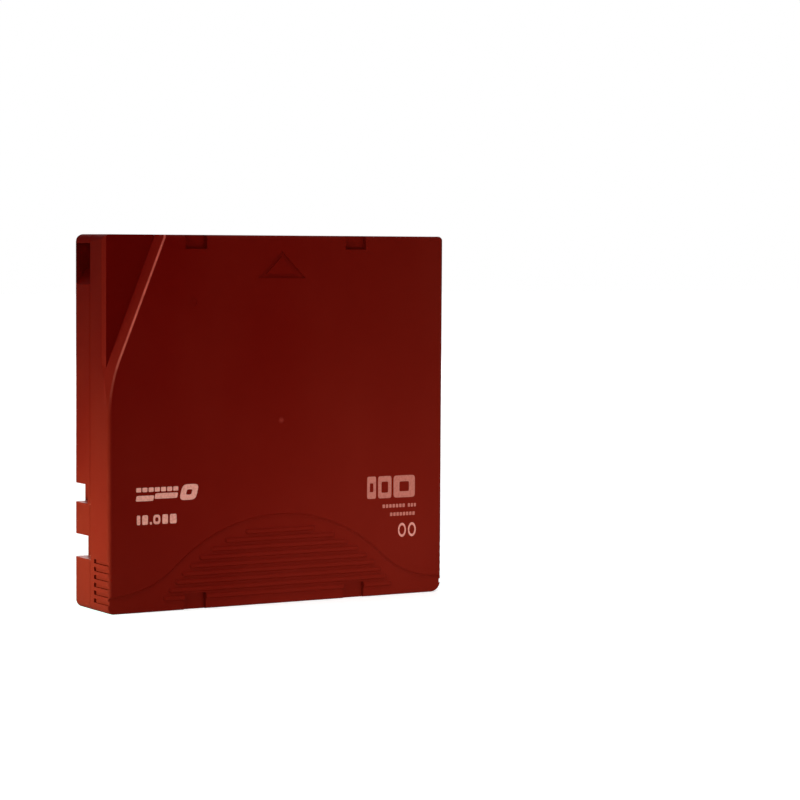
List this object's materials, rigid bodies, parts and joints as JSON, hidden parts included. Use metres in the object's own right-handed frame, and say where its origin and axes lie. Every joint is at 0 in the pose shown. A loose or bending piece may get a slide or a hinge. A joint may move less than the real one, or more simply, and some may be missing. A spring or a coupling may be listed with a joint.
{
  "type": "data tape cartridge",
  "caption": "Slim square plastic cartridge with one reel of half-inch data tape, a sliding access door, leader pin, reel brake, write-protect slide and grip notches in its sides.",
  "frame": {"origin": "centre of the box that the cartridge fills, on the plane of its rear edge, which it stands on", "axes": "+Z from the rear edge to the front edge, the way it enters a drive; +X towards the side with the access door; +Y out of the lower shell, where the reel's driven face shows"},
  "size_m": [0.1054, 0.0216, 0.102],
  "materials": {
    "shell": "satin moulded dark red plastic, fine spark texture",
    "steel": "zinc-plated screw steel",
    "reel_plastic": "smooth light grey moulded plastic",
    "ring_metal": "turned aluminium",
    "plate_steel": "bright ground steel",
    "tape": "smooth dark brown-black coated film",
    "pad_plastic": "natural off-white acetal",
    "brake_plastic": "natural off-white acetal",
    "spring_steel": "drawn spring wire",
    "door_plastic": "satin black moulded plastic",
    "clip_plastic": "light grey plastic",
    "switch_plastic": "satin red moulded plastic",
    "board": "green solder mask",
    "chip": "black encapsulant"
  },
  "bodies": {
    "case": {"upper_shell": "shell", "lower_shell": "shell", "case_screws": "steel", "leader_pin": "plate_steel", "leader_pin_spring": "spring_steel", "tape_clip": "clip_plastic", "leader_tape": "tape", "memory_board": "board", "memory_chip": "chip"},
    "reel": {"reel_hub": "reel_plastic", "hub_ring": "ring_metal", "reel_upper_flange": "reel_plastic", "reel_plate": "plate_steel", "tape_pack": "tape"},
    "pad": {"release_pad": "pad_plastic"},
    "brake": {"brake_button": "brake_plastic", "brake_spring": "spring_steel"},
    "door": {"access_door": "door_plastic", "door_spring": "spring_steel"},
    "switch": {"write_protect_switch": "switch_plastic"}
  },
  "joints": [
    {"name": "reel_spin", "type": "hinge", "parent": "case", "child": "reel", "pos_m": [0, 0, 0.051], "axis": [0, 1, 0], "continuous": true},
    {"name": "brake_lift", "type": "slide", "parent": "case", "child": "brake", "axis": [0, -1, 0], "range_m": [0, 0.00165], "stiffness_N_per_m": 400, "springref_m": -0.006, "deforming": ["brake_spring"]},
    {"name": "pad_lift", "type": "slide", "parent": "reel", "child": "pad", "axis": [0, -1, 0], "range_m": [0, 0.00165]},
    {"name": "door_slide", "type": "slide", "parent": "case", "child": "door", "axis": [0, 0, -1], "range_m": [0, 0.016], "stiffness_N_per_m": 40, "springref_m": -0.012, "deforming": ["door_spring"]},
    {"name": "write_protect_slide", "type": "slide", "parent": "case", "child": "switch", "axis": [1, 0, 0], "range_m": [0, 0.004]}
  ],
  "couplings": [
    {"joint": "pad_lift", "follows": "brake_lift", "ratio": 1}
  ]
}
